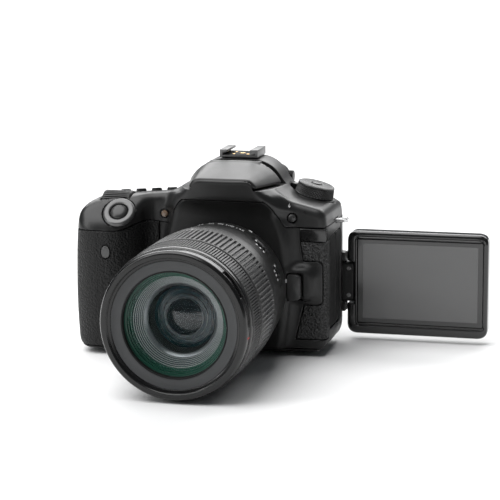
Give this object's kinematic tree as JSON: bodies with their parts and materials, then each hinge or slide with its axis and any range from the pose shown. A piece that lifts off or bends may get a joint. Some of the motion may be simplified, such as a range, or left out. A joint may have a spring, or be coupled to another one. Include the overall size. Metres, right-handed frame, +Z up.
{
  "type": "dslr camera",
  "caption": "Digital single-lens reflex camera with a rubber grip, a zoom lens, a pop-up flash and a screen that swings out to the side and turns over.",
  "frame": {"origin": "on the base plate, under the lens axis, in the plane of the image sensor", "axes": "+Z up; the lens points along -Y; +X is the side that the screen opens to"},
  "size_m": [0.2241, 0.1628, 0.107],
  "materials": {
    "shell_plastic": "fine spark-eroded satin black",
    "grip_rubber": "pebbled matt black rubber",
    "gloss_black": "smooth glossy black",
    "lens_plastic": "smooth satin black",
    "ring_rubber": "ribbed black rubber",
    "bright_steel": "brushed bright metal",
    "optical_glass": "clear glass with a green and blue coating",
    "dark_window": "smoked translucent plastic",
    "grey_print": "dark grey satin ring",
    "button_grey": "glossy dark grey plastic",
    "circuit_board": "green circuit board",
    "mirror_glass": "front-silvered mirror",
    "battery_case": "moulded dark grey case"
  },
  "bodies": {
    "body": {"front_shell": "shell_plastic", "grip_rubber": "grip_rubber", "side_leather": "grip_rubber", "name_plate": "gloss_black", "remote_window": "dark_window", "base_plate": "shell_plastic", "tripod_socket": "bright_steel", "strap_lug_left": "bright_steel", "strap_lug_right": "bright_steel", "rear_shell": "shell_plastic", "top_cover": "shell_plastic", "shutter_bezel": "button_grey", "top_display": "gloss_black", "lamp_window": "dark_window", "eyecup": "grip_rubber", "eyepiece_lens": "optical_glass", "pentaprism": "optical_glass", "accessory_shoe": "bright_steel", "mirror_box": "shell_plastic", "shutter_unit": "shell_plastic", "image_sensor": "circuit_board", "main_board": "circuit_board", "battery": "battery_case", "lens_mount": "bright_steel", "lens_barrel": "lens_plastic", "rear_element": "optical_glass"},
    "screen_arm": {"screen_arm": "shell_plastic"},
    "screen": {"screen_housing": "shell_plastic", "screen_glass": "gloss_black"},
    "zoom_ring": {"zoom_ring": "ring_rubber"},
    "front_barrel": {"front_barrel": "lens_plastic", "name_ring": "grey_print", "front_element": "optical_glass"},
    "focus_ring": {"focus_ring": "ring_rubber"},
    "flash": {"flash_head": "shell_plastic", "flash_window": "dark_window"},
    "mirror": {"mirror": "mirror_glass"},
    "shutter_button": {"shutter_button": "button_grey"},
    "main_dial": {"main_dial": "grip_rubber"},
    "af_button": {"af_button": "gloss_black"},
    "drive_button": {"drive_button": "gloss_black"},
    "iso_button": {"iso_button": "gloss_black"},
    "metering_button": {"metering_button": "gloss_black"},
    "mode_dial": {"mode_dial": "shell_plastic"},
    "mode_dial_lock": {"mode_dial_lock": "gloss_black"},
    "power_lever": {"power_lever": "shell_plastic"},
    "flash_button": {"flash_button": "gloss_black"},
    "lens_release": {"lens_release": "shell_plastic"},
    "quick_dial": {"quick_dial": "shell_plastic"},
    "set_button": {"set_button": "gloss_black"},
    "play_button": {"play_button": "gloss_black"},
    "menu_button": {"menu_button": "gloss_black"},
    "joystick": {"joystick": "grip_rubber"},
    "terminal_cover_front": {"terminal_cover_front": "grip_rubber"},
    "terminal_cover_rear": {"terminal_cover_rear": "grip_rubber"},
    "card_door": {"card_door": "shell_plastic"},
    "battery_door": {"battery_door": "shell_plastic"},
    "focus_switch": {"focus_switch": "lens_plastic"},
    "stabiliser_switch": {"stabiliser_switch": "lens_plastic"},
    "diopter_knob": {"diopter_knob": "shell_plastic"}
  },
  "joints": [
    {"name": "screen_swing", "type": "hinge", "parent": "body", "child": "screen_arm", "pos_m": [0.0524, 0.01325, 0.03005], "axis": [0, 0, -1], "range_deg": [-180, 0]},
    {"name": "screen_twist", "type": "hinge", "parent": "screen_arm", "child": "screen", "pos_m": [0.0564, 0.01275, 0.03005], "axis": [-1, 0, 0], "range_deg": [0, 270]},
    {"name": "zoom_turn", "type": "hinge", "parent": "body", "child": "zoom_ring", "pos_m": [0, -0.1, 0.0364], "axis": [0, 1, 0], "range_deg": [0, 75]},
    {"name": "barrel_extend", "type": "slide", "parent": "body", "child": "front_barrel", "axis": [0, -1, 0], "range_m": [0, 0.048]},
    {"name": "focus_turn", "type": "hinge", "parent": "body", "child": "focus_ring", "pos_m": [0, -0.122, 0.0364], "axis": [0, 1, 0], "continuous": true},
    {"name": "flash_lift", "type": "hinge", "parent": "body", "child": "flash", "pos_m": [0, -0.0165, 0.095], "axis": [-1, 0, 0], "range_deg": [0, 62]},
    {"name": "mirror_flip", "type": "hinge", "parent": "body", "child": "mirror", "pos_m": [0, -0.0105, 0.054], "axis": [-1, 0, 0], "range_deg": [0, 45]},
    {"name": "shutter_press", "type": "slide", "parent": "body", "child": "shutter_button", "axis": [0, 0.7157, -0.6984], "range_m": [0, 0.0012], "stiffness_N_per_m": 300},
    {"name": "main_dial_turn", "type": "hinge", "parent": "body", "child": "main_dial", "pos_m": [-0.061, -0.0332, 0.0766], "axis": [1, 0, 0], "continuous": true},
    {"name": "af_press", "type": "slide", "parent": "body", "child": "af_button", "axis": [0.0732, -0.156, -0.985], "range_m": [0, 0.0007], "stiffness_N_per_m": 300},
    {"name": "drive_press", "type": "slide", "parent": "body", "child": "drive_button", "axis": [0.0732, -0.156, -0.985], "range_m": [0, 0.0007], "stiffness_N_per_m": 300},
    {"name": "iso_press", "type": "slide", "parent": "body", "child": "iso_button", "axis": [0.0732, -0.156, -0.985], "range_m": [0, 0.0007], "stiffness_N_per_m": 300},
    {"name": "metering_press", "type": "slide", "parent": "body", "child": "metering_button", "axis": [0.0732, -0.156, -0.985], "range_m": [0, 0.0007], "stiffness_N_per_m": 300},
    {"name": "mode_dial_turn", "type": "hinge", "parent": "body", "child": "mode_dial", "pos_m": [0.0403, -0.003, 0.0801], "axis": [0.2419, 0, 0.9703], "continuous": true},
    {"name": "mode_lock_press", "type": "slide", "parent": "mode_dial", "child": "mode_dial_lock", "axis": [-0.2419, 0, -0.9703], "range_m": [0, 0.0007], "stiffness_N_per_m": 300},
    {"name": "power_switch", "type": "hinge", "parent": "body", "child": "power_lever", "pos_m": [0.0403, -0.003, 0.0801], "axis": [0.2419, 0, 0.9703], "range_deg": [-45, 0]},
    {"name": "flash_button_press", "type": "slide", "parent": "body", "child": "flash_button", "axis": [0, 1, 0], "range_m": [0, 0.0008], "stiffness_N_per_m": 300},
    {"name": "lens_release_press", "type": "slide", "parent": "body", "child": "lens_release", "axis": [0, 1, 0], "range_m": [0, 0.0009], "stiffness_N_per_m": 300},
    {"name": "quick_dial_turn", "type": "hinge", "parent": "body", "child": "quick_dial", "pos_m": [-0.0575, 0.016, 0.027], "axis": [0, 1, 0], "continuous": true},
    {"name": "set_press", "type": "slide", "parent": "body", "child": "set_button", "axis": [0, -1, 0], "range_m": [0, 0.0005], "stiffness_N_per_m": 300},
    {"name": "play_press", "type": "slide", "parent": "body", "child": "play_button", "axis": [0, -1, 0], "range_m": [0, 0.0006], "stiffness_N_per_m": 300},
    {"name": "menu_press", "type": "slide", "parent": "body", "child": "menu_button", "axis": [0, -1, 0], "range_m": [0, 0.0006], "stiffness_N_per_m": 300},
    {"name": "joystick_tilt", "type": "hinge", "parent": "body", "child": "joystick", "pos_m": [-0.0405, 0.0135, 0.058], "axis": [1, 0, 0], "range_deg": [-8, 8], "stiffness_Nm_per_rad": 0.01},
    {"name": "terminal_front_open", "type": "hinge", "parent": "body", "child": "terminal_cover_front", "pos_m": [0.0553, -0.0264, 0.037], "axis": [0, 0, 1], "range_deg": [-95, 0]},
    {"name": "terminal_rear_open", "type": "hinge", "parent": "body", "child": "terminal_cover_rear", "pos_m": [0.0555, -0.0129, 0.037], "axis": [0, 0, 1], "range_deg": [-95, 0]},
    {"name": "card_door_open", "type": "hinge", "parent": "body", "child": "card_door", "pos_m": [-0.0849, -0.0142, 0.037], "axis": [0, 0, 1], "range_deg": [0, 95]},
    {"name": "battery_door_open", "type": "hinge", "parent": "body", "child": "battery_door", "pos_m": [-0.0513, -0.028, 0], "axis": [0, -1, 0], "range_deg": [0, 90]},
    {"name": "focus_switch_slide", "type": "slide", "parent": "body", "child": "focus_switch", "axis": [0.7071, 0, -0.7071], "range_m": [0, 0.0028]},
    {"name": "stabiliser_switch_slide", "type": "slide", "parent": "body", "child": "stabiliser_switch", "axis": [0.3256, 0, -0.9455], "range_m": [0, 0.0028]},
    {"name": "diopter_turn", "type": "hinge", "parent": "body", "child": "diopter_knob", "pos_m": [0.025, 0.0102, 0.088], "axis": [1, 0, 0], "range_deg": [-120, 120]}
  ],
  "couplings": [
    {"joint": "barrel_extend", "follows": "zoom_turn", "m_per_rad": 0.03666}
  ]
}
